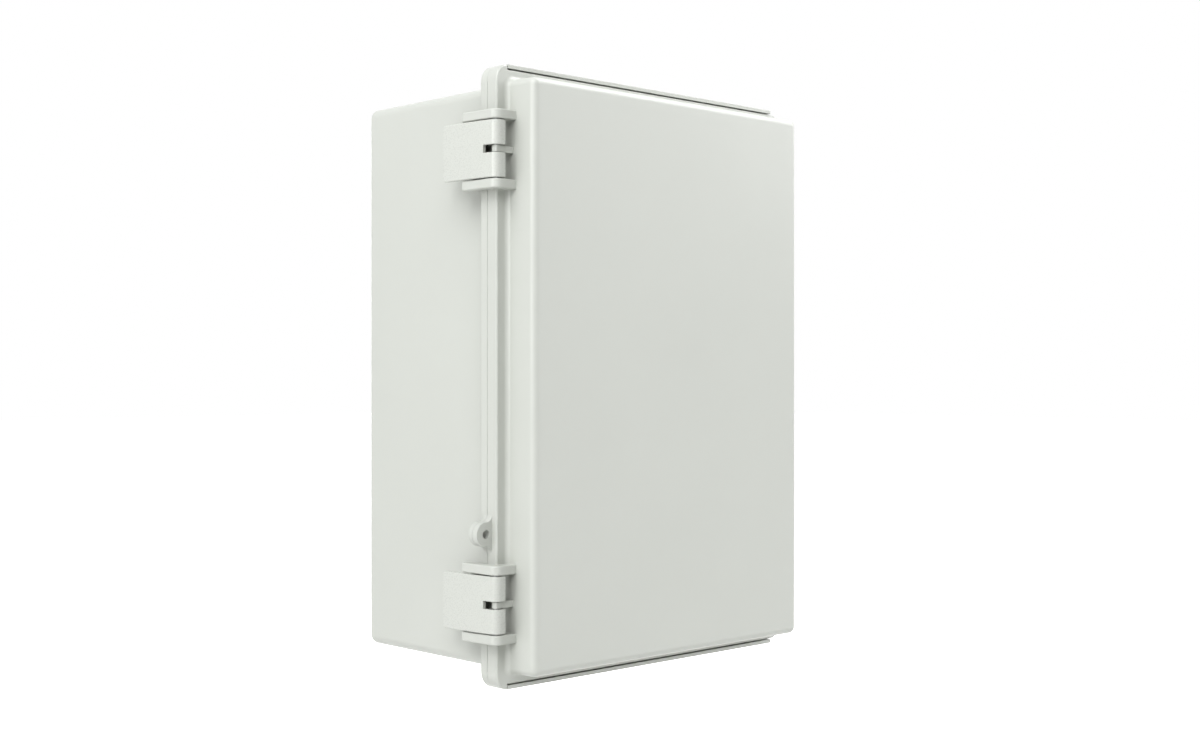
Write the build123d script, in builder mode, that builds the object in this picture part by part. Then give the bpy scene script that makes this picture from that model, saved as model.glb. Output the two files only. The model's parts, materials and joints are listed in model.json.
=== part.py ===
"""Wall enclosure of moulded plastic with a hinged door, two snap latches and a mounting plate.

The frame: X runs right and Z up as seen from the front, and the door faces -Y. The origin is the
centre of the back face, so a depth d in front of the wall lies at Y = -d.
"""
import os
from math import radians, tan

from build123d import *

# Base box
base_width = 233.6
base_height = 332.0
base_depth = 116.8
base_wall = 3.0
back_wall = 3.5
base_draft = 0.55
base_corner_radius = 6.0
back_edge_radius = 4.5

# Flanges that meet at the parting plane
flange_side_reach = 8.2
flange_end_reach = 7.25
flange_corner_radius = 7.0
base_flange_thickness = 5.2
door_flange_thickness = 7.8
parting_gap = 0.2
flange_front_chamfer = 0.8
flange_edge_chamfer = 0.2

# Rain lips along the top and bottom of the base flange
lip_inset = 8.5
lip_thickness = 2.15
lip_gap = 0.6

# Door panel
panel_side_inset = 8.2
panel_end_inset = 5.75
panel_rise = 22.0
panel_wall = 3.0
panel_draft = 1.0
panel_edge_radius = 4.2
panel_root_radius = 2.8

# Seal between the flanges
channel_rim = 2.2
channel_width = 4.8
channel_depth = 3.0
bead_width = 1.6
bead_height = 1.1
gasket_side_clearance = 0.1
gasket_bead_clearance = 0.3
seal_corner_radius = 1.0

# Pins of the latches and hinges, set out from the flange's front edge
pin_radius = 1.5
pin_offset = 2.8
pin_fixed_clearance = 0.02
pin_running_clearance = 0.08
pin_end_setback = 0.5
barrel_radius = 4.2
relief_clearance = 0.45

# Latches and the guards that stand beside them
latch_end_distance = 46.15
latch_height = 32.2
latch_wall = 2.7
latch_front_reach = 3.3
latch_guard_gap = 0.6
latch_bow = 7.0
latch_bow_length = 20.0
latch_edge_chamfer = 0.4
tab_end = 24.0
tab_tip_thickness = 2.2
tab_corner_radius = 2.5
hook_reach = 2.8
hook_clearance = 0.4
hook_thickness = 1.4
hook_gusset = 3.0
slot_height = 4.5
slot_end = 2.8
slot_overcut = 1.0
guard_thickness = 5.3
guard_overhang = 0.3
guard_edge_chamfer = 0.5
guard_rear = 9.5
guard_rear_radius = 2.5
guard_base_clearance = 0.4
lug_thickness = 3.6
lug_radius = 2.4
lug_front = 2.8
lug_corner_radius = 0.8
lug_root = 4.6

# Hinges on the other side
hinge_end_distance = 45.75
knuckle_length = 28.0
knuckle_door_clearance = 0.5
knuckle_gap = 0.4
door_lug_thickness = 5.0
knuckle_root = 4.0
knuckle_rib_thickness = 4.0
knuckle_rib_length = 18.0

# Seal ears that take a wire seal or a small padlock
ear_above_latch = 38.9
ear_reach = 4.4
ear_radius = 6.8
ear_hole_radius = 2.5
ear_root_radius = 4.0
ear_root_strip = 2.0
door_ear_thickness = 4.0
base_ear_thickness = 2.8

# Wall fixing holes in the back
wall_hole_inset_x = 13.8
wall_hole_inset_z = 14.0
wall_hole_radius = 3.25

# Mounting plate screwed to bosses
boss_inset_x = 28.8
boss_inset_z = 28.0
boss_height = 14.0
boss_radius = 5.5
screw_radius = 2.0
screw_thread_clearance = 0.05
screw_hole_clearance = 0.15
screw_length = 10.0
pilot_depth = 11.0
screw_head_radius = 3.9
screw_head_height = 2.6
plate_edge = 10.0
plate_thickness = 2.0
plate_corner_cut = 12.0

# Depths in front of the wall
base_front = base_depth + base_flange_thickness
door_rear = base_front + parting_gap
flange_front = door_rear + door_flange_thickness
panel_front = flange_front + panel_rise
channel_floor = door_rear + channel_depth
boss_front = back_wall + boss_height

# Outlines and patterns that follow the base's width and height
flange_width = base_width + 2 * flange_side_reach
flange_height = base_height + 2 * flange_end_reach
panel_width = flange_width - 2 * panel_side_inset
panel_height = flange_height - 2 * panel_end_inset
wall_hole_spacing_x = base_width - 2 * wall_hole_inset_x
wall_hole_spacing_z = base_height - 2 * wall_hole_inset_z
boss_spacing_x = base_width - 2 * boss_inset_x
boss_spacing_z = base_height - 2 * boss_inset_z

# Places that several pieces share
flange_edge_x = flange_width / 2
panel_side_x = panel_width / 2 - panel_wall / 2
wall_side_x = base_width / 2 - base_wall / 2
pin_x = flange_edge_x + pin_offset
pin_depth = flange_front + pin_offset
bracket_height = latch_height + 2 * latch_guard_gap
guard_radius = barrel_radius + guard_overhang
lug_floor = (channel_floor + flange_front) / 2
lug_floor_x = flange_edge_x - channel_rim / 2
latch_level = flange_height / 2 - latch_end_distance
hinge_level = flange_height / 2 - hinge_end_distance
brackets = {"upper": latch_level, "lower": -latch_level}
hinges = {"upper": hinge_level, "lower": -hinge_level}
ear_x = flange_edge_x + ear_reach
ear_level = ear_above_latch - latch_level
latch_pin_location = Vector(-pin_x, -pin_depth, 0)
hinge_pin_location = Vector(pin_x, -pin_depth, 0)


def front_plane(depth):
    """Plane parallel to the wall, at a depth in front of it, looking at the door."""
    return Plane.XZ.offset(depth)


def taper_spread(depth, angle):
    """Width that a drafted box gains on both sides together over a depth."""
    return 2 * depth * tan(radians(angle))


def drafted_block(rear, front, corner_radius, front_rounded=False):
    """Block with flat drafted sides and rounded corner edges, between a rear and a front outline.

    Each outline is its depth in front of the wall, its width and its height. The front edges take
    the corners' radius too where they are rounded.
    """
    rear_depth, rear_width, rear_height = rear
    front_depth, front_width, front_height = front
    with BuildPart() as block:
        with BuildSketch(Plane.XY):
            Polygon(
                (-rear_width / 2, -rear_depth),
                (rear_width / 2, -rear_depth),
                (front_width / 2, -front_depth),
                (-front_width / 2, -front_depth),
                align=None,
            )
        extrude(amount=max(rear_height, front_height), both=True)
        with BuildSketch(Plane.YZ):
            Polygon(
                (-rear_depth, -rear_height / 2),
                (-rear_depth, rear_height / 2),
                (-front_depth, front_height / 2),
                (-front_depth, -front_height / 2),
                align=None,
            )
        extrude(amount=max(rear_width, front_width), both=True, mode=Mode.INTERSECT)
        level_edges = block.edges().filter_by(Axis.X) + block.edges().filter_by(Axis.Z)
        round_edges = block.edges() - level_edges
        if front_rounded:
            round_edges += block.faces().sort_by(Axis.Y)[0].edges()
        fillet(round_edges, corner_radius)
    return block.part


def flange_outline(inset, mode=Mode.ADD):
    """Rounded rectangle that follows the flange's outline at an inset."""
    RectangleRounded(
        flange_width - 2 * inset,
        flange_height - 2 * inset,
        max(flange_corner_radius - inset, seal_corner_radius),
        mode=mode,
    )


def flange_ring(inset, width):
    """Ring of a width that follows the flange's outline at an inset."""
    flange_outline(inset)
    flange_outline(inset + width, mode=Mode.SUBTRACT)


def ear_outline():
    """Round ear on the flange's left edge, with hollow roots above and below."""
    with Locations((-ear_x, ear_level)):
        Circle(ear_radius)
    with Locations((-flange_edge_x - ear_reach / 2, ear_level)):
        Rectangle(ear_reach, 2 * ear_radius)
    with Locations((-flange_edge_x + ear_root_strip / 2, ear_level)):
        Rectangle(ear_root_strip, 2 * (ear_radius + ear_root_radius))
    roots = vertices().filter_by_position(Axis.X, -flange_edge_x, -flange_edge_x)
    fillet(roots.sort_by(Axis.Y)[1:-1], ear_root_radius)
    with Locations((-flange_edge_x + ear_root_strip, ear_level)):
        Rectangle(
            ear_root_strip + ear_reach + ear_radius,
            2 * (ear_radius + ear_root_radius),
            align=(Align.MAX, Align.CENTER),
            mode=Mode.INTERSECT,
        )
    with Locations((-ear_x, ear_level)):
        Circle(ear_hole_radius, mode=Mode.SUBTRACT)


# Base box: a drafted shell with a flange, rain lips, hinge knuckles and bosses
back_spread = taper_spread(base_depth, base_draft)
base_block = drafted_block(
    (0, base_width - back_spread, base_height - back_spread),
    (base_depth, base_width, base_height),
    base_corner_radius,
)
inner_width = base_width - 2 * base_wall
inner_height = base_height - 2 * base_wall
floor_spread = taper_spread(base_depth - back_wall, base_draft)
mouth_spread = taper_spread(base_flange_thickness, base_draft)
base_cavity = drafted_block(
    (back_wall, inner_width - floor_spread, inner_height - floor_spread),
    (base_front, inner_width + mouth_spread, inner_height + mouth_spread),
    base_corner_radius - base_wall,
)
with BuildPart() as base_box:
    add(base_block)
    fillet(base_box.faces().sort_by(Axis.Y)[-1].edges(), back_edge_radius)
    with BuildSketch(front_plane(base_depth)):
        flange_outline(0)
    extrude(amount=base_flange_thickness)
    rim_edges = base_box.edges().filter_by_position(Axis.Y, -base_front, -base_front)
    chamfer(rim_edges, flange_edge_chamfer)
    add(base_cavity, mode=Mode.SUBTRACT)
    with BuildSketch(front_plane(base_front)):
        flange_ring(channel_rim + channel_width / 2 - bead_width / 2, bead_width)
    extrude(amount=bead_height)
    lip_outer = flange_height / 2 + lip_gap + lip_thickness
    for side in (1, -1):
        with BuildSketch(front_plane(base_depth)):
            web_inner = base_height / 2
            with Locations((0, side * (lip_outer + web_inner) / 2)):
                Rectangle(flange_width - 2 * lip_inset, lip_outer - web_inner)
        extrude(amount=base_flange_thickness)
        with BuildSketch(front_plane(base_front)):
            with Locations((0, side * (lip_outer - lip_thickness / 2))):
                Rectangle(flange_width - 2 * lip_inset, lip_thickness)
        extrude(amount=flange_front - base_front)
    with BuildSketch(front_plane(base_front - base_ear_thickness)):
        ear_outline()
    extrude(amount=base_ear_thickness)
    arm_inner = flange_edge_x + knuckle_door_clearance
    arm_outer = pin_x + barrel_radius
    for level in hinges.values():
        with BuildSketch(Plane.XY.offset(level - knuckle_length / 2)):
            Polygon(
                (arm_inner, -pin_depth),
                (arm_outer, -pin_depth),
                (arm_outer, -base_front),
                (arm_inner, -(base_depth - knuckle_root)),
                (wall_side_x, -(base_depth - knuckle_root)),
                (wall_side_x, -base_front),
                (arm_inner, -base_front),
                align=None,
            )
            with Locations((pin_x, -pin_depth)):
                Circle(barrel_radius)
                Circle(pin_radius + pin_fixed_clearance, mode=Mode.SUBTRACT)
        extrude(amount=knuckle_length)
        for rib_start in (-knuckle_length / 2, knuckle_length / 2 - knuckle_rib_thickness):
            with BuildSketch(Plane.XY.offset(level + rib_start)):
                Polygon(
                    (arm_outer, -base_front),
                    (wall_side_x, -(base_depth - knuckle_rib_length)),
                    (wall_side_x, -base_front),
                    align=None,
                )
            extrude(amount=knuckle_rib_thickness)
    with BuildSketch(front_plane(0)):
        with GridLocations(wall_hole_spacing_x, wall_hole_spacing_z, 2, 2):
            Circle(wall_hole_radius)
    extrude(amount=back_wall, mode=Mode.SUBTRACT)
    with BuildSketch(front_plane(back_wall)):
        with GridLocations(boss_spacing_x, boss_spacing_z, 2, 2):
            Circle(boss_radius)
    extrude(amount=boss_height)
    with BuildSketch(front_plane(boss_front)):
        with GridLocations(boss_spacing_x, boss_spacing_z, 2, 2):
            Circle(screw_radius + screw_thread_clearance)
    extrude(amount=-pilot_depth, mode=Mode.SUBTRACT)

# Latch guard: a wall beside the latch that holds one end of its pin, moulded as part of the door
with BuildPart() as latch_guard:
    with BuildSketch(Plane.XY.offset(-guard_thickness / 2)):
        with BuildLine():
            guard_depth = pin_depth + guard_radius
            guard_inner_x = -flange_edge_x - guard_base_clearance
            rear_outer = (-pin_x - guard_radius, -(base_depth - guard_rear))
            Line((-panel_side_x, -guard_depth), (-pin_x, -guard_depth))
            CenterArc((-pin_x, -pin_depth), guard_radius, 270, -90)
            Polyline(
                (-pin_x - guard_radius, -pin_depth),
                rear_outer,
                (guard_inner_x, -(base_depth - guard_rear)),
                (guard_inner_x, -door_rear),
                (-lug_floor_x, -door_rear),
                (-lug_floor_x, -lug_floor),
                (-panel_side_x, -lug_floor),
                (-panel_side_x, -guard_depth),
            )
        make_face()
        fillet(vertices().sort_by_distance(rear_outer)[0], guard_rear_radius)
    extrude(amount=guard_thickness)
    chamfer(latch_guard.faces().filter_by(Axis.Z).edges(), guard_edge_chamfer)

# Door: a raised drafted panel on a flange, with latch guards, lugs and a seal channel
pocket_width = panel_width - 2 * panel_wall
pocket_height = panel_height - 2 * panel_wall
pocket_rear_spread = taper_spread(door_flange_thickness, panel_draft)
pocket_front_spread = taper_spread(panel_rise - panel_wall, panel_draft)
panel_pocket = drafted_block(
    (door_rear, pocket_width + pocket_rear_spread, pocket_height + pocket_rear_spread),
    (panel_front - panel_wall, pocket_width - pocket_front_spread, pocket_height - pocket_front_spread),
    panel_edge_radius - panel_wall,
)
panel_front_spread = taper_spread(panel_rise, panel_draft)
panel_block = drafted_block(
    (flange_front, panel_width, panel_height),
    (panel_front, panel_width - panel_front_spread, panel_height - panel_front_spread),
    panel_edge_radius,
    front_rounded=True,
)
with BuildPart() as door:
    with BuildSketch(front_plane(door_rear)):
        flange_outline(0)
    extrude(amount=door_flange_thickness)
    chamfer(door.faces().sort_by(Axis.Y)[0].edges(), flange_front_chamfer)
    chamfer(door.faces().sort_by(Axis.Y)[-1].edges(), flange_edge_chamfer)
    add(panel_block)
    root_reach_x = panel_width / 2 + panel_root_radius
    root_reach_z = panel_height / 2 + panel_root_radius
    root_edges = door.edges().filter_by_position(Axis.Y, -flange_front, -flange_front)
    root_edges = root_edges.filter_by_position(Axis.X, -root_reach_x, root_reach_x)
    root_edges = root_edges.filter_by_position(Axis.Z, -root_reach_z, root_reach_z)
    fillet(root_edges, panel_root_radius)
    add(panel_pocket, mode=Mode.SUBTRACT)
    with BuildSketch(front_plane(door_rear)):
        flange_ring(channel_rim, channel_width)
    extrude(amount=channel_depth, mode=Mode.SUBTRACT)
    relief_radius = (latch_front_reach**2 + barrel_radius**2) ** 0.5 + relief_clearance
    for level in brackets.values():
        with Locations(latch_pin_location + Vector(0, 0, level)):
            Cylinder(relief_radius, bracket_height, mode=Mode.SUBTRACT)
        for side in (1, -1):
            with Locations((0, 0, level + side * (bracket_height + guard_thickness) / 2)):
                add(latch_guard.part)
        with BuildSketch(Plane.XY.offset(level - lug_thickness / 2)):
            lug_nose = (-pin_x - lug_radius, -(pin_depth + lug_front))
            Polygon(
                (-pin_x - lug_radius, -pin_depth),
                lug_nose,
                (-panel_side_x, -(flange_front + lug_root)),
                (-panel_side_x, -lug_floor),
                (-lug_floor_x, -lug_floor),
                (-pin_x, -(pin_depth - lug_radius)),
                align=None,
            )
            fillet(vertices().sort_by_distance(lug_nose)[0], lug_corner_radius)
            with Locations((-pin_x, -pin_depth)):
                Circle(lug_radius)
        extrude(amount=lug_thickness)
        pin_top = level + bracket_height / 2 + guard_thickness - pin_end_setback
        pin_bottom = level - bracket_height / 2 - guard_thickness
        with BuildSketch(Plane.XY.offset(pin_bottom)):
            with Locations((-pin_x, -pin_depth)):
                Circle(pin_radius + pin_fixed_clearance)
        extrude(amount=pin_top - pin_bottom, mode=Mode.SUBTRACT)
    for level in hinges.values():
        with Locations(hinge_pin_location + Vector(0, 0, level)):
            Cylinder(
                barrel_radius + relief_clearance,
                knuckle_length + 2 * knuckle_gap,
                mode=Mode.SUBTRACT,
            )
        for side in (1, -1):
            with BuildSketch(Plane.XY.offset(level + side * (knuckle_length / 2 + knuckle_gap))):
                with Locations((pin_x, -pin_depth)):
                    Circle(barrel_radius)
                Polygon(
                    (pin_x, -(pin_depth + barrel_radius)),
                    (panel_side_x, -(pin_depth + barrel_radius)),
                    (panel_side_x, -lug_floor),
                    (lug_floor_x, -lug_floor),
                    (pin_x, -(pin_depth - barrel_radius)),
                    align=None,
                )
                with Locations((pin_x, -pin_depth)):
                    Circle(pin_radius + pin_running_clearance, mode=Mode.SUBTRACT)
            extrude(amount=side * door_lug_thickness)
    with BuildSketch(front_plane(door_rear)):
        ear_outline()
    extrude(amount=door_ear_thickness)

# Door gasket: a rubber ring on the floor of the door's channel
with BuildPart() as door_gasket:
    gasket_thickness = channel_floor - base_front - bead_height - gasket_bead_clearance
    with BuildSketch(front_plane(channel_floor - gasket_thickness)):
        flange_ring(channel_rim + gasket_side_clearance, channel_width - 2 * gasket_side_clearance)
    extrude(amount=gasket_thickness)

# Mounting plate: sheet steel with its corners cut back clear of the wall fixing holes
with BuildPart() as mounting_plate:
    with BuildSketch(front_plane(boss_front)):
        Rectangle(boss_spacing_x + 2 * plate_edge, boss_spacing_z + 2 * plate_edge)
        chamfer(vertices(), plate_corner_cut)
        with GridLocations(boss_spacing_x, boss_spacing_z, 2, 2):
            Circle(screw_radius + screw_hole_clearance, mode=Mode.SUBTRACT)
    extrude(amount=plate_thickness)

# Screws that hold the plate on the bosses
head_seat = boss_front + plate_thickness
with BuildPart() as mounting_plate_screws:
    with BuildSketch(front_plane(head_seat)):
        with GridLocations(boss_spacing_x, boss_spacing_z, 2, 2):
            Circle(screw_head_radius)
    extrude(amount=screw_head_height)
    with BuildSketch(front_plane(head_seat)):
        with GridLocations(boss_spacing_x, boss_spacing_z, 2, 2):
            Circle(screw_radius)
    extrude(amount=-screw_length)

os.makedirs("parts", exist_ok=True)
plain_pieces = {
    "base_box": base_box,
    "door": door,
    "door_gasket": door_gasket,
    "mounting_plate": mounting_plate,
    "mounting_plate_screws": mounting_plate_screws,
}
for name, piece in plain_pieces.items():
    piece.part.label = name
    export_step(piece.part, f"parts/{name}.step")

# Latches: levers that turn on the door's pins and hook behind the base flange
for name, level in brackets.items():
    with BuildPart() as latch:
        bow_start = Vector(-pin_x, -pin_depth) + Vector(-barrel_radius, 0).rotate(Axis.Z, latch_bow)
        bow_end = bow_start + Vector(0, latch_bow_length).rotate(Axis.Z, latch_bow / 2)
        face_depth = pin_depth + barrel_radius
        front_edge_x = -pin_x + latch_front_reach
        inner_x = bow_end.X + latch_wall
        tab_tip_depth = base_depth - tab_end
        hook_depth = base_depth - hook_clearance
        with BuildSketch(Plane.XY.offset(level - latch_height / 2)):
            with BuildLine():
                Line((front_edge_x, -face_depth), (-pin_x, -face_depth))
                CenterArc((-pin_x, -pin_depth), barrel_radius, 270, latch_bow - 90)
                TangentArc(bow_end, bow_start, tangent=(0, -1))
                Polyline(
                    bow_end,
                    (bow_end.X, -tab_tip_depth),
                    (bow_end.X + tab_tip_thickness, -tab_tip_depth),
                    (inner_x, bow_end.Y),
                    (inner_x, -pin_depth),
                    (-pin_x, -pin_depth),
                    (-pin_x, -face_depth + latch_wall),
                    (front_edge_x, -face_depth + latch_wall),
                    (front_edge_x, -face_depth),
                )
            make_face()
            with Locations((-pin_x, -pin_depth)):
                Circle(barrel_radius)
            hook_tip_x = -flange_edge_x + hook_reach
            hook_root_x = inner_x - latch_wall / 2
            Polygon(
                (hook_root_x, -hook_depth),
                (hook_tip_x, -hook_depth),
                (hook_tip_x, -hook_depth + hook_thickness),
                (hook_root_x, -hook_depth + hook_gusset),
                align=None,
            )
        extrude(amount=latch_height)
        tab_corners = latch.edges().filter_by(Axis.X).group_by(Axis.Y)[-1]
        fillet(tab_corners, tab_corner_radius)
        chamfer(latch.faces().filter_by(Axis.Z).edges(), latch_edge_chamfer)
        with BuildSketch(Plane.XY.offset(level - slot_height / 2)):
            slot_rear = flange_front - slot_end
            slot_width = 2 * (barrel_radius + slot_overcut)
            with Locations((-pin_x, -(face_depth + slot_rear) / 2)):
                Rectangle(slot_width, face_depth - slot_rear)
        extrude(amount=slot_height, mode=Mode.SUBTRACT)
        with Locations(latch_pin_location + Vector(0, 0, level)):
            Cylinder(pin_radius + pin_running_clearance, latch_height, mode=Mode.SUBTRACT)
    latch.part.label = f"{name}_latch"
    export_step(latch.part, f"parts/{name}_latch.step")

# Latch pins: pushed up through the lower guard, into the closed end of the upper one
for name, level in brackets.items():
    with BuildPart() as latch_pin:
        pin_start = level - bracket_height / 2 - guard_thickness + pin_end_setback
        pin_end = level + bracket_height / 2 + guard_thickness - pin_end_setback
        with BuildSketch(Plane.XY.offset(pin_start)):
            with Locations((-pin_x, -pin_depth)):
                Circle(pin_radius)
        extrude(amount=pin_end - pin_start)
    latch_pin.part.label = f"{name}_latch_pin"
    export_step(latch_pin.part, f"parts/{name}_latch_pin.step")

# Hinge pins: held in the base's knuckles, running in the door's lugs
for name, level in hinges.items():
    with BuildPart() as hinge_pin:
        pin_half = knuckle_length / 2 + knuckle_gap + door_lug_thickness - pin_end_setback
        with BuildSketch(Plane.XY.offset(level - pin_half)):
            with Locations((pin_x, -pin_depth)):
                Circle(pin_radius)
        extrude(amount=2 * pin_half)
    hinge_pin.part.label = f"{name}_hinge_pin"
    export_step(hinge_pin.part, f"parts/{name}_hinge_pin.step")
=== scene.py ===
"""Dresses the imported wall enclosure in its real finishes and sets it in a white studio."""
import json
import logging
from dataclasses import dataclass
from enum import Enum
from math import cos, pi, radians, sin

import bmesh
import bpy
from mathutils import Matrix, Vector


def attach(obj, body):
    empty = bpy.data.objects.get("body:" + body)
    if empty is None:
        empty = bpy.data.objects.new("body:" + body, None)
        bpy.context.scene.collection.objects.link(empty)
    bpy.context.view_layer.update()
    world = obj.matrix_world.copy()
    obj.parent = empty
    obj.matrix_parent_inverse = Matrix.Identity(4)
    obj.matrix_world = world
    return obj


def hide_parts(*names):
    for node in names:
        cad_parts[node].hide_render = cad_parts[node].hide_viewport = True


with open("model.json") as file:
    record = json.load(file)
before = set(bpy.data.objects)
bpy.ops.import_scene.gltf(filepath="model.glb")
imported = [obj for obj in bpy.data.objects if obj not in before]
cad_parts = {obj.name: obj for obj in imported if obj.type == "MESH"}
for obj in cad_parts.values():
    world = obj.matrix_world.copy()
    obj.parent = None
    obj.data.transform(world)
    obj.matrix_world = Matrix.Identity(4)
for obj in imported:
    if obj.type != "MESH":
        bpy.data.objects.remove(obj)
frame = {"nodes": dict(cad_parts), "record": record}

LOG = logging.getLogger("wall_enclosure")
MM = 0.001
WHITE = "FFFFFF"
SHARP_ANGLE = radians(35)  # faces that meet more steeply than this keep a crisp edge

Profile = list[tuple[float, float]]


class Body(Enum):
    """Bodies that the added pieces move with."""

    BASE = "base"
    DOOR = "door"


class Slot(Enum):
    """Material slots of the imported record."""

    HOUSING = "abs_housing"
    LATCH = "abs_latch"
    GASKET = "gasket_rubber"
    PIN = "pin_steel"
    PLATE = "galvanised_sheet"
    SCREW = "zinc_plated_steel"


def linear(hex_colour: str) -> tuple[float, float, float, float]:
    """Turn an sRGB hex colour into the linear colour that shaders take.

    Args:
        hex_colour: six hex digits, red first.

    Returns:
        Linear red, green and blue, with an alpha of one.
    """
    channels = [int(hex_colour[place:place + 2], 16) / 255 for place in (0, 2, 4)]
    # The sRGB curve is a straight line near black and a power above it.
    red, green, blue = (
        value / 12.92 if value <= 0.04045 else ((value + 0.055) / 1.055) ** 2.4
        for value in channels
    )
    return red, green, blue, 1.0


def per_metre(size_mm: float) -> float:
    """Give the texture scale whose features are about this many millimetres wide."""
    return 1 / (size_mm * MM)


def add_node(
    tree: bpy.types.NodeTree,
    kind: str,
    settings: dict[str, object] | None = None,
    inputs: dict[str | int, object] | None = None,
) -> bpy.types.Node:
    """Add a node with its settings, and give its inputs values or links.

    Args:
        tree: the node tree that takes the node.
        kind: Blender's name of the node's type.
        settings: properties of the node, by name.
        inputs: a value or an output socket for each named or numbered input.

    Returns:
        The new node.
    """
    node = tree.nodes.new(kind)
    for name, value in (settings or {}).items():
        setattr(node, name, value)
    for name, value in (inputs or {}).items():
        if isinstance(value, bpy.types.NodeSocket):
            tree.links.new(value, node.inputs[name])
        else:
            node.inputs[name].default_value = value
    return node


def add_object(name: str, data: bpy.types.ID) -> bpy.types.Object:
    """Put a mesh, light or camera into the scene, at the origin.

    Args:
        name: name of the object.
        data: what the object shows.

    Returns:
        The new object.
    """
    item = bpy.data.objects.new(name, data)
    bpy.context.scene.collection.objects.link(item)
    return item


def evaluated_mesh(item: bpy.types.Object) -> bpy.types.Mesh:
    """Make a plain mesh of an object as its modifiers leave it.

    Args:
        item: the object with its modifiers.

    Returns:
        A new mesh.
    """
    graph = bpy.context.evaluated_depsgraph_get()
    graph.update()
    return bpy.data.meshes.new_from_object(item.evaluated_get(graph))


def outward_mesh(name: str, shape: bmesh.types.BMesh, smooth: bool = True) -> bpy.types.Mesh:
    """Turn the faces of a closed shape outwards and make a mesh of it.

    Args:
        name: name of the mesh.
        shape: the closed shape, which is freed.
        smooth: whether its faces are shaded smooth.

    Returns:
        The new mesh.
    """
    bmesh.ops.recalc_face_normals(shape, faces=shape.faces)
    for face in shape.faces:
        face.smooth = smooth
    mesh = bpy.data.meshes.new(name)
    shape.to_mesh(mesh)
    shape.free()
    return mesh


@dataclass(frozen=True)
class Finish:
    """A material as it is made: its name, colour and gloss."""

    name: str
    colour: str
    roughness: float

    def start(self) -> tuple[bpy.types.NodeTree, bpy.types.NodeSocket]:
        """Begin the material with an empty tree.

        Returns:
            The material's node tree, and the Object coordinates in metres.
        """
        material = bpy.data.materials.new(self.name)
        material.use_nodes = True
        material.node_tree.nodes.clear()
        coords = add_node(material.node_tree, "ShaderNodeTexCoord").outputs["Object"]
        return material.node_tree, coords

    def close(self, tree: bpy.types.NodeTree, inputs: dict[str, object]) -> bpy.types.Material:
        """End the material with its shader.

        Args:
            tree: the material's node tree.
            inputs: the shader's inputs, by name.

        Returns:
            The finished material.
        """
        shader = add_node(tree, "ShaderNodeBsdfPrincipled", inputs=inputs)
        add_node(tree, "ShaderNodeOutputMaterial", inputs={"Surface": shader.outputs["BSDF"]})
        return bpy.data.materials[self.name]


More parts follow.
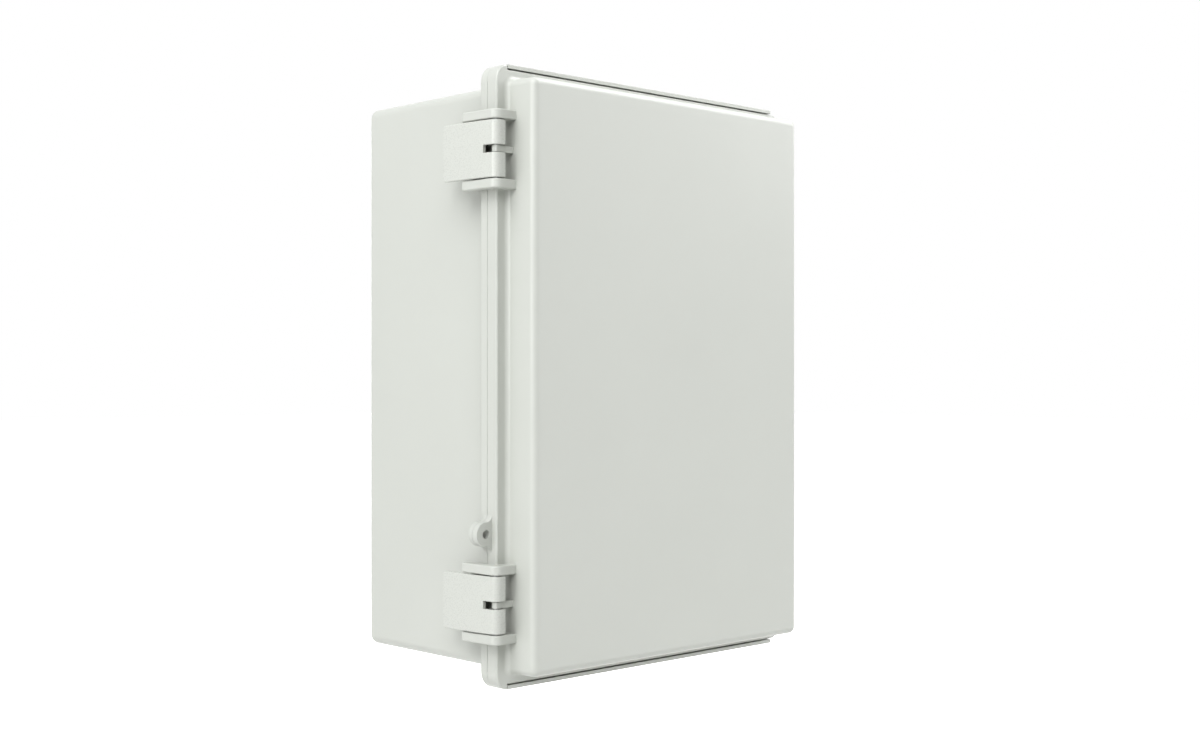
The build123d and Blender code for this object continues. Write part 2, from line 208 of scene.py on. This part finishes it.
@dataclass(frozen=True)
class MouldedAbs(Finish):
    """Injection moulded ABS from a fine spark-eroded tool: a satin skin with softly broken edges.

    Flow clouds shift its tone a little, its edges are drawn paler, and its corners and hollows are
    darkened with painted shade. The real grain is about 0.1 mm, too fine to show, so it is drawn
    coarser.
    """

    cloud_colour: str = "CBCEC8"
    cloud_mm: float = 85.0
    grain_mm: float = 0.7
    grain_depth_mm: float = 0.006
    grain_strength: float = 0.35
    gloss_range: tuple[float, float] = (-0.05, 0.05)
    edge_colour: str = "DCDED9"
    edge_mm: float = 0.45
    edge_samples: int = 6
    edge_cosines: tuple[float, float] = (0.99, 0.7)  # where the paler edge begins, and is full
    edge_share: float = 0.6
    # Painted shade: corners and hollows are darkened towards this colour, as far as the occlusion
    # test reaches.
    painted_shade_colour: str = "B0B2AC"
    painted_shade_reach_mm: float = 30.0
    painted_shade_samples: int = 8
    painted_shade_share: float = 0.9
    ior: float = 1.53

    def build(self) -> bpy.types.Material:
        """Build the material.

        Returns:
            The satin plastic, with its flow clouds, grain, paler edges and painted shade in its
            corners.
        """
        tree, coords = self.start()
        face = add_node(tree, "ShaderNodeNewGeometry").outputs["Normal"]
        rounded = add_node(
            tree,
            "ShaderNodeBevel",
            {"samples": self.edge_samples},
            {"Radius": self.edge_mm * MM},
        ).outputs["Normal"]
        turn = add_node(
            tree, "ShaderNodeVectorMath", {"operation": "DOT_PRODUCT"}, {0: rounded, 1: face}
        ).outputs["Value"]
        # Edges, where the bevelled normal turns away from the face, are drawn paler.
        edge = add_node(
            tree,
            "ShaderNodeMapRange",
            inputs={
                "Value": turn,
                "From Min": self.edge_cosines[0],
                "From Max": self.edge_cosines[1],
                "To Min": 0.0,
                "To Max": self.edge_share,
            },
        ).outputs["Result"]
        cloud = add_node(
            tree,
            "ShaderNodeTexNoise",
            inputs={"Vector": coords, "Scale": per_metre(self.cloud_mm), "Detail": 3.0},
        ).outputs["Fac"]
        grain = add_node(
            tree,
            "ShaderNodeTexNoise",
            inputs={"Vector": coords, "Scale": per_metre(self.grain_mm), "Detail": 2.0},
        ).outputs["Fac"]
        flow = add_node(
            tree,
            "ShaderNodeMix",
            {"data_type": "RGBA"},
            {0: cloud, 6: linear(self.colour), 7: linear(self.cloud_colour)},
        ).outputs[2]
        unshaded_tone = add_node(
            tree,
            "ShaderNodeMix",
            {"data_type": "RGBA"},
            {0: edge, 6: flow, 7: linear(self.edge_colour)},
        ).outputs[2]
        # Painted shade: an occlusion test darkens corners, creases and hollows towards the shade
        # colour.
        openness = add_node(
            tree,
            "ShaderNodeAmbientOcclusion",
            {"samples": self.painted_shade_samples},
            {"Distance": self.painted_shade_reach_mm * MM},
        ).outputs["AO"]
        painted_shade_mask = add_node(
            tree,
            "ShaderNodeMapRange",
            inputs={
                "Value": openness,
                "From Min": 1.0,
                "From Max": 0.0,
                "To Min": 0.0,
                "To Max": self.painted_shade_share,
            },
        ).outputs["Result"]
        tone = add_node(
            tree,
            "ShaderNodeMix",
            {"data_type": "RGBA"},
            {0: painted_shade_mask, 6: unshaded_tone, 7: linear(self.painted_shade_colour)},
        ).outputs[2]
        gloss = add_node(
            tree,
            "ShaderNodeMapRange",
            inputs={
                "Value": grain,
                "To Min": self.roughness + self.gloss_range[0],
                "To Max": self.roughness + self.gloss_range[1],
            },
        ).outputs["Result"]
        skin = add_node(
            tree,
            "ShaderNodeBump",
            inputs={
                "Strength": self.grain_strength,
                "Distance": self.grain_depth_mm * MM,
                "Height": grain,
                "Normal": rounded,
            },
        ).outputs["Normal"]
        return self.close(
            tree, {"Base Color": tone, "Roughness": gloss, "Normal": skin, "IOR": self.ior}
        )


@dataclass(frozen=True)
class SealingRubber(Finish):
    """Closed-cell sealing rubber cut from sheet: dull black, with fine open cells on its skin.

    The real cells are about 0.3 mm and would not show, so they are drawn coarser.
    """

    cell_colour: str = "2B2B2A"
    cell_mm: float = 0.9
    cell_depth_mm: float = 0.12
    cell_strength: float = 0.6
    ior: float = 1.5

    def build(self) -> bpy.types.Material:
        """Build the material.

        Returns:
            The dull rubber with its cells.
        """
        tree, coords = self.start()
        cells = add_node(
            tree,
            "ShaderNodeTexVoronoi",
            inputs={"Vector": coords, "Scale": per_metre(self.cell_mm)},
        ).outputs["Distance"]
        tone = add_node(
            tree,
            "ShaderNodeMix",
            {"data_type": "RGBA"},
            {0: cells, 6: linear(self.colour), 7: linear(self.cell_colour)},
        ).outputs[2]
        skin = add_node(
            tree,
            "ShaderNodeBump",
            inputs={
                "Strength": self.cell_strength,
                "Distance": self.cell_depth_mm * MM,
                "Height": cells,
            },
        ).outputs["Normal"]
        return self.close(
            tree,
            {"Base Color": tone, "Roughness": self.roughness, "Normal": skin, "IOR": self.ior},
        )


@dataclass(frozen=True)
class DrawnSteel(Finish):
    """Bright steel wire drawn through a die: fine lines run along the pin.

    The real lines are a few hundredths of a millimetre wide, so they are drawn coarser to show.
    """

    line_mm: float = 0.25
    line_stretch: float = 0.02
    dark_colour: str = "9C9D9E"
    gloss_range: tuple[float, float] = (-0.08, 0.12)

    def build(self) -> bpy.types.Material:
        """Build the material.

        Returns:
            The bright steel with its drawing lines along Z.
        """
        tree, coords = self.start()
        along = add_node(
            tree,
            "ShaderNodeMapping",
            inputs={"Vector": coords, "Scale": (1.0, 1.0, self.line_stretch)},
        ).outputs["Vector"]
        lines = add_node(
            tree,
            "ShaderNodeTexNoise",
            inputs={"Vector": along, "Scale": per_metre(self.line_mm), "Detail": 3.0},
        ).outputs["Fac"]
        tone = add_node(
            tree,
            "ShaderNodeMix",
            {"data_type": "RGBA"},
            {0: lines, 6: linear(self.colour), 7: linear(self.dark_colour)},
        ).outputs[2]
        gloss = add_node(
            tree,
            "ShaderNodeMapRange",
            inputs={
                "Value": lines,
                "To Min": self.roughness + self.gloss_range[0],
                "To Max": self.roughness + self.gloss_range[1],
            },
        ).outputs["Result"]
        return self.close(tree, {"Base Color": tone, "Metallic": 1.0, "Roughness": gloss})


@dataclass(frozen=True)
class GalvanisedSheet(Finish):
    """Hot-dip galvanised sheet: flat grey metal with a spangle of zinc crystals.

    The frost on the crystals is finer in the real coat, and is drawn coarser to show.
    """

    crystal_colour: str = "B1B4B7"
    crystal_mm: float = 11.0
    gloss_range: tuple[float, float] = (-0.04, 0.06)
    frost_mm: float = 0.6
    frost_depth_mm: float = 0.01
    frost_strength: float = 0.2

    def build(self) -> bpy.types.Material:
        """Build the material.

        Returns:
            The zinc coat, each crystal with its own tone and gloss.
        """
        tree, coords = self.start()
        crystals = add_node(
            tree,
            "ShaderNodeTexVoronoi",
            inputs={"Vector": coords, "Scale": per_metre(self.crystal_mm)},
        ).outputs["Color"]
        shade = add_node(tree, "ShaderNodeSeparateColor", inputs={"Color": crystals}).outputs
        frost = add_node(
            tree,
            "ShaderNodeTexNoise",
            inputs={"Vector": coords, "Scale": per_metre(self.frost_mm), "Detail": 4.0},
        ).outputs["Fac"]
        tone = add_node(
            tree,
            "ShaderNodeMix",
            {"data_type": "RGBA"},
            {0: shade["Red"], 6: linear(self.colour), 7: linear(self.crystal_colour)},
        ).outputs[2]
        gloss = add_node(
            tree,
            "ShaderNodeMapRange",
            inputs={
                "Value": shade["Green"],
                "To Min": self.roughness + self.gloss_range[0],
                "To Max": self.roughness + self.gloss_range[1],
            },
        ).outputs["Result"]
        skin = add_node(
            tree,
            "ShaderNodeBump",
            inputs={
                "Strength": self.frost_strength,
                "Distance": self.frost_depth_mm * MM,
                "Height": frost,
            },
        ).outputs["Normal"]
        return self.close(
            tree, {"Base Color": tone, "Metallic": 1.0, "Roughness": gloss, "Normal": skin}
        )


@dataclass(frozen=True)
class ZincPlate(Finish):
    """Bright zinc plating with a clear passivation: a cool sheen that clouds a little."""

    cloud_colour: str = "B9BFC6"
    cloud_mm: float = 2.5
    gloss_range: tuple[float, float] = (-0.06, 0.08)

    def build(self) -> bpy.types.Material:
        """Build the material.

        Returns:
            The plated steel with its faint clouding.
        """
        tree, coords = self.start()
        cloud = add_node(
            tree,
            "ShaderNodeTexNoise",
            inputs={"Vector": coords, "Scale": per_metre(self.cloud_mm), "Detail": 3.0},
        ).outputs["Fac"]
        tone = add_node(
            tree,
            "ShaderNodeMix",
            {"data_type": "RGBA"},
            {0: cloud, 6: linear(self.colour), 7: linear(self.cloud_colour)},
        ).outputs[2]
        gloss = add_node(
            tree,
            "ShaderNodeMapRange",
            inputs={
                "Value": cloud,
                "To Min": self.roughness + self.gloss_range[0],
                "To Max": self.roughness + self.gloss_range[1],
            },
        ).outputs["Result"]
        return self.close(tree, {"Base Color": tone, "Metallic": 1.0, "Roughness": gloss})


@dataclass
class Finishes:
    """The enclosure's materials, one for each slot of the record."""

    def build(self) -> dict[Slot, bpy.types.Material]:
        """Build every material once.

        Returns:
            The material of each slot.
        """
        makers = {
            Slot.HOUSING: MouldedAbs("moulded_abs_housing", "CFD2CC", 0.33),
            Slot.LATCH: MouldedAbs(
                "moulded_abs_latch", "D1D4CE", 0.28, cloud_colour="CED1CB", grain_depth_mm=0.003
            ),
            Slot.GASKET: SealingRubber("closed_cell_rubber", "171717", 0.88),
            Slot.PIN: DrawnSteel("drawn_steel", "C6C7C8", 0.26),
            Slot.PLATE: GalvanisedSheet("galvanised_sheet_steel", "C2C5C8", 0.42),
            Slot.SCREW: ZincPlate("zinc_plated_steel", "D3D7DC", 0.28),
        }
        return {slot: finish.build() for slot, finish in makers.items()}


@dataclass
class Mouldings:
    """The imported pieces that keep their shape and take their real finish."""

    materials: dict[Slot, bpy.types.Material]

    def dress(self) -> None:
        """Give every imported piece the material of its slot."""
        for piece in frame["record"]["subparts"]:
            slot = Slot(piece["material_slot"])
            shape = frame["nodes"][piece["node"]].data
            shape.materials.clear()
            shape.materials.append(self.materials[slot])
            LOG.info("%s takes %s", piece["node"], self.materials[slot].name)


@dataclass
class GridPattern:
    """Copies of one small piece on a grid that stands upright, facing the front."""

    size_x: float
    size_z: float
    columns: int
    rows: int
    depth: float

    def tree(self) -> bpy.types.NodeTree:
        """Build the node tree that lays the copies out.

        Returns:
            A geometry node tree with named inputs for the sizes.
        """
        tree = bpy.data.node_groups.new("upright_grid", "GeometryNodeTree")
        sockets = {
            "Piece": "NodeSocketObject",
            "Size X": "NodeSocketFloat",
            "Size Z": "NodeSocketFloat",
            "Columns": "NodeSocketInt",
            "Rows": "NodeSocketInt",
            "Depth": "NodeSocketFloat",
            "Finish": "NodeSocketMaterial",
        }
        for name, kind in sockets.items():
            tree.interface.new_socket(name, in_out="INPUT", socket_type=kind)
        tree.interface.new_socket("Geometry", in_out="OUTPUT", socket_type="NodeSocketGeometry")
        sizes = add_node(tree, "NodeGroupInput").outputs
        grid = add_node(
            tree,
            "GeometryNodeMeshGrid",
            inputs={
                "Size X": sizes["Size X"],
                "Size Y": sizes["Size Z"],
                "Vertices X": sizes["Columns"],
                "Vertices Y": sizes["Rows"],
            },
        )
        forward = add_node(
            tree, "ShaderNodeMath", {"operation": "MULTIPLY"}, {0: sizes["Depth"], 1: -1.0}
        )
        place = add_node(tree, "ShaderNodeCombineXYZ", inputs={"Y": forward.outputs["Value"]})
        upright = add_node(
            tree,
            "GeometryNodeTransform",
            inputs={
                "Geometry": grid.outputs["Mesh"],
                "Translation": place.outputs["Vector"],
                "Rotation": (pi / 2, 0.0, 0.0),
            },
        )
        piece = add_node(
            tree, "GeometryNodeObjectInfo", inputs={"Object": sizes["Piece"], "As Instance": True}
        )
        copies = add_node(
            tree,
            "GeometryNodeInstanceOnPoints",
            inputs={"Points": upright.outputs["Geometry"], "Instance": piece.outputs["Geometry"]},
        )
        real = add_node(
            tree, "GeometryNodeRealizeInstances", inputs={"Geometry": copies.outputs["Instances"]}
        )
        dressed = add_node(
            tree,
            "GeometryNodeSetMaterial",
            inputs={"Geometry": real.outputs["Geometry"], "Material": sizes["Finish"]},
        )
        add_node(tree, "NodeGroupOutput", inputs={"Geometry": dressed.outputs["Geometry"]})
        return tree

    def lay_out(
        self, name: str, template: bpy.types.Mesh, material: bpy.types.Material
    ) -> bpy.types.Object:
        """Lay out copies of a template and bake them into one mesh.

        Args:
            name: name of the finished piece.
            template: mesh of one copy, facing the front at the origin.
            material: finish of the copies.

        Returns:
            The baked piece, at the origin.
        """
        source = add_object(f"{name}_template", template)
        carrier = add_object(name, bpy.data.meshes.new(f"{name}_points"))
        pattern = carrier.modifiers.new("pattern", "NODES")
        pattern.node_group = self.tree()
        values = {
            "Piece": source,
            "Size X": self.size_x,
            "Size Z": self.size_z,
            "Columns": self.columns,
            "Rows": self.rows,
            "Depth": self.depth,
            "Finish": material,
        }
        for socket in pattern.node_group.interface.items_tree:
            if socket.in_out == "INPUT":
                pattern[socket.identifier] = values[socket.name]
        baked = evaluated_mesh(carrier)
        carrier.modifiers.remove(pattern)
        carrier.data = baked
        bpy.data.objects.remove(source)
        return carrier


def lathe(name: str, profile: Profile, segments: int) -> bpy.types.Mesh:
    """Turn a profile about the Y axis into a closed mesh.

    Args:
        name: name of the mesh.
        profile: radius and Y of each point, from the axis at one end to the axis at the other.
        segments: number of steps around the axis.

    Returns:
        The turned mesh, with smooth faces that point outwards.
    """
    shape = bmesh.new()
    turns = [2 * pi * step / segments for step in range(segments)]
    rings = []
    for radius, along in profile:
        if radius == 0:
            rings.append([shape.verts.new((0, along, 0))] * segments)
        else:
            rings.append(
                [shape.verts.new((radius * cos(turn), along, radius * sin(turn))) for turn in turns]
            )
    for low, high in zip(rings, rings[1:]):
        for step in range(segments):
            after = (step + 1) % segments
            corners = dict.fromkeys((low[step], low[after], high[after], high[step]))
            shape.faces.new(list(corners))
    return outward_mesh(name, shape)


@dataclass
class PlateScrews:
    """Pan head thread-forming screws that hold the mounting plate on its bosses."""

    material: bpy.types.Material
    spacing_x: float = 176.0 * MM
    spacing_z: float = 276.0 * MM
    columns: int = 2
    rows: int = 2
    seat_depth: float = 19.5 * MM
    head_radius: float = 3.9 * MM
    head_height: float = 2.6 * MM
    head_shoulder: float = 1.5 * MM
    seat_chamfer: float = 0.15 * MM
    shank_radius: float = 2.0 * MM
    core_radius: float = 1.5 * MM
    shank_length: float = 10.0 * MM
    point_radius: float = 0.5 * MM
    thread_start: float = 1.0 * MM
    thread_pitch: float = 1.4 * MM
    thread_root_share: float = 0.55
    thread_crest_share: float = 0.8
    recess_length: float = 4.6 * MM
    recess_width: float = 0.95 * MM
    recess_depth: float = 1.6 * MM
    recess_lead: float = 0.2 * MM
    recess_taper: float = 0.6
    segments: int = 48

    def head_profile(self) -> Profile:
        """Give the head's profile, with a rounded shoulder.

        Returns:
            Radius and Y of each point, from the crown to the seat.
        """
        crown = [(0.0, -self.head_height)]
        for degrees in range(90, -1, -15):
            turn = radians(degrees)
            radius = self.head_radius - self.head_shoulder + self.head_shoulder * cos(turn)
            height = self.head_height - self.head_shoulder + self.head_shoulder * sin(turn)
            crown.append((radius, -height))
        seat_radius = self.head_radius - self.seat_chamfer
        return crown + [(self.head_radius, -self.seat_chamfer), (seat_radius, 0.0)]

    def thread_profile(self) -> Profile:
        """Give the shank's profile, with the thread's ridges.

        Returns:
            Radius and Y of each point, from under the head to the tip.
        """
        ridges = [(self.shank_radius, 0.0)]
        along = self.thread_start
        while along + self.thread_pitch < self.shank_length - self.shank_radius / 2:
            ridges += [
                (self.core_radius, along),
                (self.core_radius, along + self.thread_root_share * self.thread_pitch),
                (self.shank_radius, along + self.thread_crest_share * self.thread_pitch),
            ]
            along += self.thread_pitch
        point = [(self.point_radius, self.shank_length), (0.0, self.shank_length)]
        return ridges + [(self.core_radius, along)] + point

    def recess_cutter(self) -> bpy.types.Mesh:
        """Build the cross that the driver fits, narrowing inwards.

        Returns:
            The cutter's mesh, with its mouth just in front of the head.
        """
        shape = bmesh.new()
        mouth = -(self.head_height + self.recess_lead)
        floor = -(self.head_height - self.recess_depth)
        corners = ((-1, -1), (1, -1), (1, 1), (-1, 1))
        for turned in (False, True):
            rings = []
            for along, taper in ((mouth, 1.0), (floor, self.recess_taper)):
                half_x = self.recess_length / 2 * taper
                half_z = self.recess_width / 2 * taper
                if turned:
                    half_x, half_z = half_z, half_x
                rings.append(
                    [shape.verts.new((x * half_x, along, z * half_z)) for x, z in corners]
                )
            front, back = rings
            shape.faces.new(front)
            shape.faces.new(back)
            for step in range(len(corners)):
                after = (step + 1) % len(corners)
                shape.faces.new((front[step], front[after], back[after], back[step]))
        return outward_mesh("recess_cutter", shape, smooth=False)

    def template(self) -> bpy.types.Mesh:
        """Build one screw with its head seat at the origin.

        Returns:
            The screw's mesh.
        """
        turned = lathe("plate_screw", self.head_profile() + self.thread_profile(), self.segments)
        screw = add_object("plate_screw", turned)
        cutter = add_object("recess_cutter", self.recess_cutter())
        cut = screw.modifiers.new("recess", "BOOLEAN")
        cut.operation = "DIFFERENCE"
        cut.solver = "EXACT"
        cut.use_self = True
        cut.object = cutter
        mesh = evaluated_mesh(screw)
        for item in (screw, cutter):
            bpy.data.objects.remove(item)
        return mesh

    def build(self) -> None:
        """Lay out the four screws in place of the plain packed ones."""
        pattern = GridPattern(
            self.spacing_x, self.spacing_z, self.columns, self.rows, self.seat_depth
        )
        screws = pattern.lay_out("plate_screws_detailed", self.template(), self.material)
        screws.data.set_sharp_from_angle(angle=SHARP_ANGLE)
        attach(screws, Body.BASE.value)
        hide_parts("mounting_plate_screws")
        LOG.info("%s: %d faces", screws.name, len(screws.data.polygons))


@dataclass
class EjectorMarks:
    """Faint round marks that the mould's ejector pins leave on the inside of the door."""

    material: bpy.types.Material
    radius: float = 4.0 * MM
    height: float = 0.15 * MM
    rim: float = 0.5 * MM
    rim_slope: float = 0.1 * MM
    floor_height: float = 0.05 * MM
    segments: int = 32
    spread_x: float = 170.0 * MM
    spread_z: float = 260.0 * MM
    columns: int = 3
    rows: int = 4
    face_depth: float = 149.0 * MM

    def template(self) -> bpy.types.Mesh:
        """Build one mark: a low disc with a raised rim.

        Returns:
            The mark's mesh, which stands up towards the back.
        """
        inner = self.radius - self.rim
        profile = [
            (0.0, 0.0),
            (self.radius, 0.0),
            (self.radius - self.rim_slope, self.height),
            (inner, self.height),
            (inner - self.rim_slope, self.floor_height),
            (0.0, self.floor_height),
        ]
        return lathe("ejector_mark", profile, self.segments)

    def build(self) -> None:
        """Lay the marks out on the inner face of the door's panel."""
        pattern = GridPattern(
            self.spread_x, self.spread_z, self.columns, self.rows, self.face_depth
        )
        marks = pattern.lay_out("door_ejector_marks", self.template(), self.material)
        marks.data.set_sharp_from_angle(angle=SHARP_ANGLE)
        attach(marks, Body.DOOR.value)
        LOG.info("%s: %d faces", marks.name, len(marks.data.polygons))


@dataclass
class FlangeCorners:
    """Rounded corners that bring a flange out to the level of the rain lips beside their ends."""

    name: str
    body: Body
    material: bpy.types.Material
    sides: tuple[int, ...]
    rear_depth: float
    front_depth: float
    lip_end: float
    chamfer: float
    flange_edge: float = 125.0 * MM
    shoulder: float = 166.25 * MM
    lip_top: float = 176.0 * MM
    side_root: float = 1.6 * MM
    top_root: float = 4.25 * MM
    seat: float = 0.02 * MM
    arc_step_degrees: int = 6

    def section(self, inset: float) -> Profile:
        """Give one corner's section, which sits a hair inside the flange's own faces.

        Args:
            inset: how far the outer arc is drawn in, for the chamfer.

        Returns:
            X and Z along the outer arc, then back along the root inside the flange.
        """
        reach = self.flange_edge - self.lip_end
        rise = self.lip_top - self.shoulder
        outer = (reach - self.seat - inset, rise - self.seat - inset)
        root = (reach - self.side_root, rise - self.top_root)
        turns = [radians(degrees) for degrees in range(0, 91, self.arc_step_degrees)]
        path = [(outer, turn) for turn in turns] + [(root, turn) for turn in reversed(turns)]
        return [
            (self.lip_end + x * cos(turn), self.shoulder + z * sin(turn))
            for (x, z), turn in path
        ]

    def add_corner(self, shape: bmesh.types.BMesh, side: int, end: int) -> None:
        """Add one closed corner to the shape.

        Args:
            shape: the shape that takes the corner.
            side: 1 for the hinge side, -1 for the latch side.
            end: 1 for the top, -1 for the bottom.
        """
        levels = (
            (self.rear_depth + self.seat, 0.0),
            (self.front_depth - self.chamfer, 0.0),
            (self.front_depth - self.seat, self.chamfer),
        )
        rings = [
            [shape.verts.new((side * x, -depth, end * z)) for x, z in self.section(inset)]
            for depth, inset in levels
        ]
        count = len(rings[0])
        for low, high in zip(rings, rings[1:]):
            for step in range(count):
                after = (step + 1) % count
                shape.faces.new((low[step], low[after], high[after], high[step]))
        for ring in (rings[0], rings[-1]):
            for step in range(count // 2 - 1):
                back = count - 1 - step
                shape.faces.new((ring[step], ring[step + 1], ring[back - 1], ring[back]))

    def build(self) -> None:
        """Build the corners at the flange's top and bottom as one piece."""
        shape = bmesh.new()
        for side in self.sides:
            for end in (1, -1):
                self.add_corner(shape, side, end)
        mesh = outward_mesh(self.name, shape)
        mesh.materials.append(self.material)
        mesh.set_sharp_from_angle(angle=SHARP_ANGLE)
        corners = add_object(self.name, mesh)
        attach(corners, self.body.value)
        LOG.info("%s: %d faces", corners.name, len(mesh.polygons))


@dataclass
class FlangeEnds:
    """Corners of both flanges: all four of the base's, and the two on the door's latch side.

    The door's hinge side has none, because there they would swing into the ends of the lips.
    """

    material: bpy.types.Material

    def build(self) -> None:
        """Build the corners of the base and of the door."""
        FlangeCorners(
            "base_flange_corners",
            Body.BASE,
            self.material,
            sides=(-1, 1),
            rear_depth=116.8 * MM,
            front_depth=122.0 * MM,
            lip_end=116.4 * MM,
            chamfer=0.2 * MM,
        ).build()
        FlangeCorners(
            "door_flange_corners",
            Body.DOOR,
            self.material,
            sides=(-1,),
            rear_depth=122.2 * MM,
            front_depth=130.0 * MM,
            lip_end=116.9 * MM,
            chamfer=0.8 * MM,
        ).build()


@dataclass(frozen=True)
class SoftBox:
    """A square studio light that faces the enclosure, placed by its bearing from the front."""

    name: str
    bearing_degrees: float
    height_degrees: float
    side: float
    watts: float
    distance: float = 2.2

    def build(self, target: Vector) -> None:
        """Add the light.

        Args:
            target: the point that the light faces.
        """
        lamp = bpy.data.lights.new(self.name, "AREA")
        lamp.shape = "SQUARE"
        lamp.size = self.side
        lamp.energy = self.watts
        bearing, height = radians(self.bearing_degrees), radians(self.height_degrees)
        place = self.distance * Vector(
            (sin(bearing) * cos(height), -cos(bearing) * cos(height), sin(height))
        )
        stand = add_object(self.name, lamp)
        stand.location = place
        stand.rotation_euler = (target - place).to_track_quat("-Z", "Y").to_euler()


@dataclass
class Studio:
    """White studio: soft light all round, a pale floor, and the camera left of the front."""

    camera_place: tuple[float, float, float] = (-743.4 * MM, -830.3 * MM, 1.05 * MM)
    heading_degrees: float = -45.0
    lens_mm: float = 50.0
    sensor_mm: float = 36.0
    clip_start: float = 10.0 * MM
    middle: tuple[float, float, float] = (0.0, -75.0 * MM, 0.0)
    floor_level: float = -0.45
    floor_side: float = 30.0
    floor_colour: str = "DEDEDC"
    ambient: float = 0.04
    glow_near: float = 0.64
    glow_radius: tuple[float, float] = (0.5, 1.4)

    def add_camera(self) -> None:
        """Add the level camera at the photograph's place."""
        lens = bpy.data.cameras.new("camera")
        lens.lens = self.lens_mm
        lens.sensor_width = self.sensor_mm
        lens.clip_start = self.clip_start
        camera = add_object("camera", lens)
        camera.location = self.camera_place
        camera.rotation_euler = (pi / 2, 0.0, radians(self.heading_degrees))
        bpy.context.scene.camera = camera

    def seen_rays(self, tree: bpy.types.NodeTree) -> bpy.types.NodeSocket:
        """Tell rays that show the background from rays that light the object.

        Args:
            tree: the node tree that takes the nodes.

        Returns:
            One for camera, glossy and transmission rays, and otherwise zero.
        """
        rays = add_node(tree, "ShaderNodeLightPath").outputs
        seen = rays["Is Camera Ray"]
        for kind in ("Is Glossy Ray", "Is Transmission Ray"):
            seen = add_node(
                tree, "ShaderNodeMath", {"operation": "MAXIMUM"}, {0: seen, 1: rays[kind]}
            ).outputs["Value"]
        return seen

    def add_world(self) -> None:
        """Add a white background whose light on the object is softer than its look."""
        world = bpy.data.worlds.new("white_studio")
        bpy.context.scene.world = world
        world.use_nodes = True
        tree = world.node_tree
        tree.nodes.clear()
        strength = add_node(
            tree,
            "ShaderNodeMapRange",
            inputs={"Value": self.seen_rays(tree), "To Min": self.ambient, "To Max": 1.0},
        ).outputs["Result"]
        sky = add_node(
            tree, "ShaderNodeBackground", inputs={"Color": linear(WHITE), "Strength": strength}
        )
        add_node(tree, "ShaderNodeOutputWorld", inputs={"Surface": sky.outputs["Background"]})

    def floor_paint(self) -> bpy.types.Material:
        """Build the matt floor paint, which shows white away from the enclosure.

        Returns:
            The paint, with a glow that the camera and reflections see and that lights nothing.
        """
        paint = bpy.data.materials.new("matt_white_floor")
        paint.use_nodes = True
        tree = paint.node_tree
        tree.nodes.clear()
        coat = add_node(
            tree, "ShaderNodeBsdfDiffuse", inputs={"Color": linear(self.floor_colour)}
        )
        spot = add_node(tree, "ShaderNodeTexCoord").outputs["Object"]
        flat = add_node(
            tree, "ShaderNodeVectorMath", {"operation": "MULTIPLY"}, {0: spot, 1: (1.0, 1.0, 0.0)}
        ).outputs["Vector"]
        away = add_node(
            tree, "ShaderNodeVectorMath", {"operation": "LENGTH"}, {0: flat}
        ).outputs["Value"]
        lift = add_node(
            tree,
            "ShaderNodeMapRange",
            inputs={
                "Value": away,
                "From Min": self.glow_radius[0],
                "From Max": self.glow_radius[1],
                "To Min": self.glow_near,
                "To Max": 1.0,
            },
        ).outputs["Result"]
        shown = add_node(
            tree, "ShaderNodeMath", {"operation": "MULTIPLY"}, {0: lift, 1: self.seen_rays(tree)}
        ).outputs["Value"]
        glow = add_node(
            tree, "ShaderNodeEmission", inputs={"Color": linear(WHITE), "Strength": shown}
        )
        both = add_node(
            tree,
            "ShaderNodeAddShader",
            inputs={0: coat.outputs["BSDF"], 1: glow.outputs["Emission"]},
        )
        add_node(tree, "ShaderNodeOutputMaterial", inputs={"Surface": both.outputs["Shader"]})
        return paint

    def add_floor(self) -> None:
        """Add the pale floor below the hung enclosure, which keeps its soft shadow."""
        shape = bmesh.new()
        bmesh.ops.create_grid(shape, x_segments=1, y_segments=1, size=self.floor_side / 2)
        for vertex in shape.verts:
            vertex.co.z = self.floor_level
        mesh = bpy.data.meshes.new("studio_floor")
        shape.to_mesh(mesh)
        shape.free()
        mesh.materials.append(self.floor_paint())
        floor = add_object("studio_floor", mesh)

    def add_lights(self) -> None:
        """Add the softboxes round the enclosure."""
        # Bearing and height in degrees, side in metres, power in watts.
        boxes = (
            SoftBox("left_softbox", -88, 8, 0.8, 11.0),
            SoftBox("left_high_softbox", -95, 50, 1.2, 18.6),
            SoftBox("left_front_softbox", -60, 25, 0.8, 9.4),
            SoftBox("key_softbox", -45, 45, 1.2, 18.6),
            SoftBox("right_softbox", 64, 24, 1.1, 16.4),
            SoftBox("right_high_softbox", 62, 55, 1.2, 26.8),
            SoftBox("right_low_softbox", 40, 5, 1.2, 5.0),
            SoftBox("back_softbox", 155, 3, 1.2, 14.0),
        )
        for box in boxes:
            box.build(Vector(self.middle))

    def build(self) -> None:
        """Build the whole studio."""
        bpy.context.scene.view_settings.view_transform = "Standard"
        self.add_camera()
        self.add_world()
        self.add_floor()
        self.add_lights()


def main() -> None:
    """Build the dressed enclosure and its studio."""
    logging.basicConfig(level=logging.INFO, format="%(name)s: %(message)s")
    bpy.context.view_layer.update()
    materials = Finishes().build()
    Mouldings(materials).dress()
    PlateScrews(materials[Slot.SCREW]).build()
    EjectorMarks(materials[Slot.HOUSING]).build()
    FlangeEnds(materials[Slot.HOUSING]).build()
    Studio().build()


if __name__ == "__main__":
    main()
